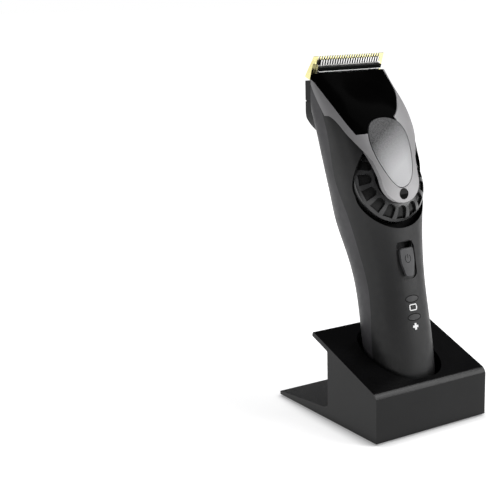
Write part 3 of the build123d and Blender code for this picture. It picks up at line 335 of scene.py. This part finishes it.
def housing_finish():
    """Rubbery grey grip; painted shade colours the recessed pocket under the dial black."""
    material = moulded("grip_grey", (0.012, 0.012, 0.0124), 0.42, specular=0.27, drift=0.12)
    tree, shader, grey = opened(material)
    # painted shade: inside the dial pocket the colour is black and the reflection weak
    masks = []
    for middle, radius in (
        (DIAL_CENTRE, POCKET_RADIUS),
        (DIAL_CENTRE - DIAL_UP * POCKET_DROP, POCKET_LOW_RADIUS),
    ):
        masks.append(remap(tree, from_axis(tree, middle, DIAL_AXIS), 1.0, 0.0, radius, radius + 0.1 * MM))
    either = combine(tree, "MAXIMUM", *masks)
    tree.links.new(blend(tree, either, grey, (0.002, 0.002, 0.002)), shader.inputs["Base Color"])
    tree.links.new(remap(tree, either, 0.3, 0.02, 0.0, 1.0), shader.inputs["Specular IOR Level"])
    return material


def thumb_finish():
    """Bead-blasted satin plate; painted shade makes it darker towards the upper left."""
    material, tree, shader = new_material("thumb_aluminium")
    shader.inputs["Metallic"].default_value = 0.4
    shader.inputs["Specular IOR Level"].default_value = 0.2
    upper_left = along_direction(tree, ORIGIN, (-0.55, 0, 1))
    # painted shade: darker towards the upper left
    upper_left_shade = remap(tree, upper_left, 0.0, 1.0, 134 * MM, 153 * MM)
    shaded_tone = blend(tree, upper_left_shade, (0.31, 0.31, 0.315), (0.008, 0.008, 0.008))
    speck = noise(tree, 1600, 4.0)
    grained = blend(tree, remap(tree, speck, 0.0, 0.2), shaded_tone, (0.38, 0.38, 0.39))
    tree.links.new(grained, shader.inputs["Base Color"])
    tree.links.new(remap(tree, speck, 0.34, 0.52), shader.inputs["Roughness"])
    add_bump(tree, shader, [(speck, 0.00003, 0.5)])
    return material


MATERIALS = {
    "stand_black": stand_finish(),
    "cup_black": moulded("cup_black", (0.006, 0.006, 0.006), 0.3, specular=0.2),
    "rubber_foot": moulded(
        "rubber_foot", (0.012, 0.012, 0.012), 0.85, grain=4000, depth=0.00004, specular=0.3
    ),
    "rear_grey": moulded("rear_grey", (0.036, 0.035, 0.038), 0.44, specular=0.3),
    "grip_grey": housing_finish(),
    "bezel_silver": bezel_finish(),
    "gloss_black": moulded("gloss_black", (0.001, 0.001, 0.001), 0.15, depth=0.000003, specular=0.003),
    "thumb_aluminium": thumb_finish(),
    "lens_black": moulded("lens_black", (0.002, 0.002, 0.002), 0.06, depth=0.000002, specular=0.06),
    "dial_black": dial_finish(),
    "button_grey": moulded("button_grey", (0.055, 0.055, 0.057), 0.42, specular=0.3),
    "light_lens": moulded("light_lens", (0.03, 0.03, 0.031), 0.3, depth=0.000006, specular=0.3),
    "holder_black": holder_finish(),
    "comb_gold": comb_finish(),
    "cutter_steel": cutter_finish(),
    "steel": steel_finish(),
    "contact_gold": metal("contact_gold", (0.83, 0.62, 0.28), 0.25),
    "inner_black": moulded("inner_black", (0.006, 0.006, 0.006), 0.5, specular=0.15),
    "board_green": moulded("board_green", (0.03, 0.14, 0.06), 0.35, grain=2500),
    "battery_sleeve": moulded("battery_sleeve", (0.06, 0.13, 0.34), 0.3),
    "copper": metal("copper", (0.76, 0.36, 0.18), 0.35, stretch=(1, 0.05, 1), scale=9000),
    "magnet_dark": metal("magnet_dark", (0.32, 0.32, 0.33), 0.3),
    "lamp_white": moulded("lamp_white", (0.75, 0.75, 0.72), 0.35),
}
PRINT_WHITE = moulded("print_white", (0.80, 0.80, 0.80), 0.5, drift=0.03)
PRINT_DARK = moulded("print_dark", (0.004, 0.004, 0.004), 0.5, specular=0.05, drift=0.05)

for part in frame["record"]["subparts"]:
    data = nodes[part["node"]].data
    data.materials.clear()
    data.materials.append(MATERIALS[part["material_slot"]])


# ---------------------------------------------------------------- rounded edges on the CAD pieces

def soften(name, width, angle=35, segments=2):
    """Small radius on a node's sharp edges, so that they catch the light as moulded edges do."""
    node = nodes[name]
    bevel = node.modifiers.new("edge_radius", "BEVEL")
    bevel.width = width
    bevel.segments = segments
    bevel.limit_method = "ANGLE"
    bevel.angle_limit = math.radians(angle)
    bevel.harden_normals = False
    bevel.use_clamp_overlap = True


for name, width in (("taper_dial", 0.2), ("power_button", 0.25), ("stand_shell", 0.6)):
    soften(name, width * MM)


# ---------------------------------------------------------------- printed symbols and outlines

def at_handle(x, v, s):
    """Point in the row frame from handle coordinates in millimetres."""
    return HANDLE_FOOT + Vector((x, 0, 0)) * MM + HANDLE_BACK * v * MM + HANDLE_UP * s * MM


def surface_finder(names):
    """Function that drops a point (x, s) in millimetres on the foremost surface of the nodes."""
    trees = []
    for name in names:
        mesh = bmesh.new()
        mesh.from_mesh(nodes[name].data)
        trees.append(BVHTree.FromBMesh(mesh))
        mesh.free()

    def find(x, s, lift):
        start = at_handle(x, -60, s)
        hits = [tree.ray_cast(start, HANDLE_BACK) for tree in trees]
        hits = [hit for hit in hits if hit[0] is not None]
        return min(hits, key=lambda hit: hit[3])[0] - HANDLE_BACK * lift * MM

    return find


def sampled(path, closed, step=0.25):
    """Path points in millimetres spread evenly enough to follow the curved surface."""
    ends = path + path[:1] if closed else path
    points = []
    for (x0, s0), (x1, s1) in zip(ends, ends[1:]):
        count = max(1, round(math.hypot(x1 - x0, s1 - s0) / step))
        points += [(x0 + (x1 - x0) * i / count, s0 + (s1 - s0) * i / count) for i in range(count)]
    return points if closed else points + [path[-1]]


def ribbon(mesh, find, path, width, closed=False, lift=0.03):
    """Band of the given width along a path, lying on the surface."""
    points = sampled(path, closed)
    rows = []
    for i, (x, s) in enumerate(points):
        before = points[i - 1] if closed or i else points[i]
        after = points[(i + 1) % len(points)] if closed or i + 1 < len(points) else points[i]
        run = Vector((after[0] - before[0], after[1] - before[1])).normalized()
        side = Vector((-run.y, run.x)) * width / 2
        row = [mesh.verts.new(find(x + side.x * k, s + side.y * k, lift)) for k in (-1, 0, 1)]
        rows.append(row)
    pairs = list(zip(rows, rows[1:])) + ([(rows[-1], rows[0])] if closed else [])
    for a, b in pairs:
        for k in (0, 1):
            mesh.faces.new((a[k], a[k + 1], b[k + 1], b[k]))


def oval(centre, half_x, half_s, turns=(0, 360), count=28):
    """Points round an oval, or along part of it."""
    low, high = (math.radians(angle) for angle in turns)
    whole = turns == (0, 360)
    steps = count if whole else count - 1
    angles = [low + (high - low) * i / steps for i in range(count)]
    return [(centre[0] + half_x * math.cos(a), centre[1] + half_s * math.sin(a)) for a in angles]


def printed(name, body, material, nodes_under, bands):
    """Piece made of bands (path, width, closed) lying on the nodes."""
    find = surface_finder(nodes_under)
    mesh = bmesh.new()
    for path, width, closed in bands:
        ribbon(mesh, find, path, width, closed)
    bmesh.ops.recalc_face_normals(mesh, faces=mesh.faces)
    data = bpy.data.meshes.new(name)
    mesh.to_mesh(data)
    mesh.free()
    piece = bpy.data.objects.new(name, data)
    bpy.context.scene.collection.objects.link(piece)
    thickness = piece.modifiers.new("ink", "SOLIDIFY")
    thickness.thickness = 0.02 * MM
    thickness.offset = 0.0
    data.materials.append(material)
    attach(piece, body)
    return piece


def rounded_box(centre, half_x, half_s, radius):
    """Path round a rectangle with rounded corners."""
    corners = [(1, 1, 0), (-1, 1, 90), (-1, -1, 180), (1, -1, 270)]
    path = []
    for side_x, side_s, start in corners:
        middle = (centre[0] + side_x * (half_x - radius), centre[1] + side_s * (half_s - radius))
        path += oval(middle, radius, radius, (start, start + 90), 5)
    return path


LENS_HALF = (4.0, 1.6)
LENS_STATIONS = (55.4, 45.8)
BATTERY_S = 50.9
PLUG_S = 40.9
POWER_S = 76.4

for name, s in zip(("battery_light_outline", "charge_light_outline"), LENS_STATIONS):
    rim = oval((0, s), LENS_HALF[0] + 0.15, LENS_HALF[1] + 0.15, count=40)
    under = ["front_housing", name.replace("outline", "lens")]
    printed(name, "clipper", PRINT_DARK, under, [(rim, 0.42, True)])

battery_case = rounded_box((0, BATTERY_S), 2.1, 1.45, 0.6)
battery_nub = [(2.35, BATTERY_S - 0.45), (2.35, BATTERY_S + 0.45)]
printed(
    "battery_symbol", "clipper", PRINT_WHITE, ["front_housing"],
    [(battery_case, 0.55, True), (battery_nub, 0.45, False)],
)
plug_bands = [
    ([(-1.7, PLUG_S), (1.7, PLUG_S)], 1.25, False),
    ([(0, PLUG_S - 1.7), (0, PLUG_S + 1.7)], 1.25, False),
]
printed("plug_symbol", "clipper", PRINT_WHITE, ["front_housing"], plug_bands)
power_bands = [
    (oval((0, POWER_S), 1.75, 2.1, (125, 415), 24), 0.32, False),
    ([(0, POWER_S + 0.2), (0, POWER_S + 2.3)], 0.32, False),
]
printed("power_symbol", "switch", PRINT_DARK, ["power_button"], power_bands)


# ---------------------------------------------------------------- studio

def sheet(name, half_x, half_y, rows):
    """Flat floor made as a grid."""
    mesh = bmesh.new()
    bmesh.ops.create_grid(mesh, x_segments=rows, y_segments=rows, size=1.0)
    bmesh.ops.scale(mesh, vec=(half_x, half_y, 1), verts=mesh.verts)
    data = bpy.data.meshes.new(name)
    mesh.to_mesh(data)
    mesh.free()
    piece = bpy.data.objects.new(name, data)
    bpy.context.scene.collection.objects.link(piece)
    return piece


floor = sheet("studio_floor", 60.0, 60.0, 8)
floor_paper, floor_tree, floor_shader = new_material("floor_paper")
floor_shader.inputs["Specular IOR Level"].default_value = 0.0
floor_shader.inputs["Roughness"].default_value = 0.9
floor_shader.inputs["Emission Color"].default_value = (1, 1, 1, 1)
# The floor glows, more weakly near the stand; an ambient-occlusion term paints a contact shadow where things
# stand on it.
near = remap(floor_tree, from_axis(floor_tree, ORIGIN, UPWARD), 0.74, 1.0, 0.10, 0.40)
painted_contact_shadow = floor_tree.nodes.new("ShaderNodeAmbientOcclusion")
painted_contact_shadow.inputs["Distance"].default_value = 9 * MM
shade = remap(floor_tree, painted_contact_shadow.outputs["AO"], 0.35, 1.0, 0.5, 0.95)
floor_tree.links.new(combine(floor_tree, "MULTIPLY", near, shade), floor_shader.inputs["Emission Strength"])
paper = remap(floor_tree, noise(floor_tree, 40), 0.0, 1.0)
floor_tree.links.new(
    blend(floor_tree, paper, (0.64, 0.64, 0.64), (0.66, 0.66, 0.66)), floor_shader.inputs["Base Color"]
)
floor.data.materials.append(floor_paper)

world = bpy.data.worlds.new("studio")
bpy.context.scene.world = world
world.use_nodes = True
sky = world.node_tree
sky.nodes.clear()
sky_output = sky.nodes.new("ShaderNodeOutputWorld")
background = sky.nodes.new("ShaderNodeBackground")
heading = sky.nodes.new("ShaderNodeTexCoord")
parts = sky.nodes.new("ShaderNodeSeparateXYZ")
sky.links.new(heading.outputs["Generated"], parts.inputs["Vector"])
height = remap(sky, parts.outputs["Z"], 0.0, 1.0, 0.03, 0.15)
sky.links.new(blend(sky, height, (1.0, 1.0, 1.0), (0.16, 0.16, 0.165)), background.inputs["Color"])
sky.links.new(background.outputs["Background"], sky_output.inputs["Surface"])


def softbox(name, place, aim, size, power):
    """Rectangular lamp at a place, turned to an aim point."""
    lamp = bpy.data.lights.new(name, "AREA")
    lamp.shape = "RECTANGLE"
    lamp.size, lamp.size_y = size
    lamp.energy = power
    holder = bpy.data.objects.new(name, lamp)
    bpy.context.scene.collection.objects.link(holder)
    holder.location = place
    holder.rotation_mode = "QUATERNION"
    holder.rotation_quaternion = (Vector(aim) - Vector(place)).to_track_quat("-Z", "Y")


MIDDLE = (0.0, 0.0, 0.09)
softbox("right_front", (0.75, -0.75, 0.55), MIDDLE, (0.5, 0.9), 6.5)
softbox("left_fill", (-1.0, -0.15, 0.35), MIDDLE, (0.5, 0.8), 1.0)
softbox("overhead", (0.5, -0.35, 1.0), MIDDLE, (0.7, 0.6), 5.0)
softbox("back_rim", (-0.3, 0.95, 0.7), MIDDLE, (0.8, 0.5), 2.5)

# ---------------------------------------------------------------- camera

CAMERA_PLACE = Vector((-346.98, -440.91, 217.42)) * MM
CAMERA_YAW = math.radians(31.13)
CAMERA_PITCH = math.radians(-12.92)
CAMERA_ROLL = math.radians(-1.54)
CAMERA_LENS = 77.09

forward = Vector((
    math.sin(CAMERA_YAW) * math.cos(CAMERA_PITCH),
    math.cos(CAMERA_YAW) * math.cos(CAMERA_PITCH),
    math.sin(CAMERA_PITCH),
))
level = Vector((math.cos(CAMERA_YAW), -math.sin(CAMERA_YAW), 0.0))
rise = level.cross(forward)
right = level * math.cos(CAMERA_ROLL) + rise * math.sin(CAMERA_ROLL)
up = rise * math.cos(CAMERA_ROLL) - level * math.sin(CAMERA_ROLL)
camera_data = bpy.data.cameras.new("camera")
camera_data.lens = CAMERA_LENS
camera_data.sensor_width = 36.0
camera = bpy.data.objects.new("camera", camera_data)
bpy.context.scene.collection.objects.link(camera)
turn = Matrix((right, up, -forward)).transposed()
camera.matrix_world = Matrix.Translation(CAMERA_PLACE) @ turn.to_4x4()
bpy.context.scene.camera = camera
bpy.context.scene.view_settings.view_transform = "Standard"
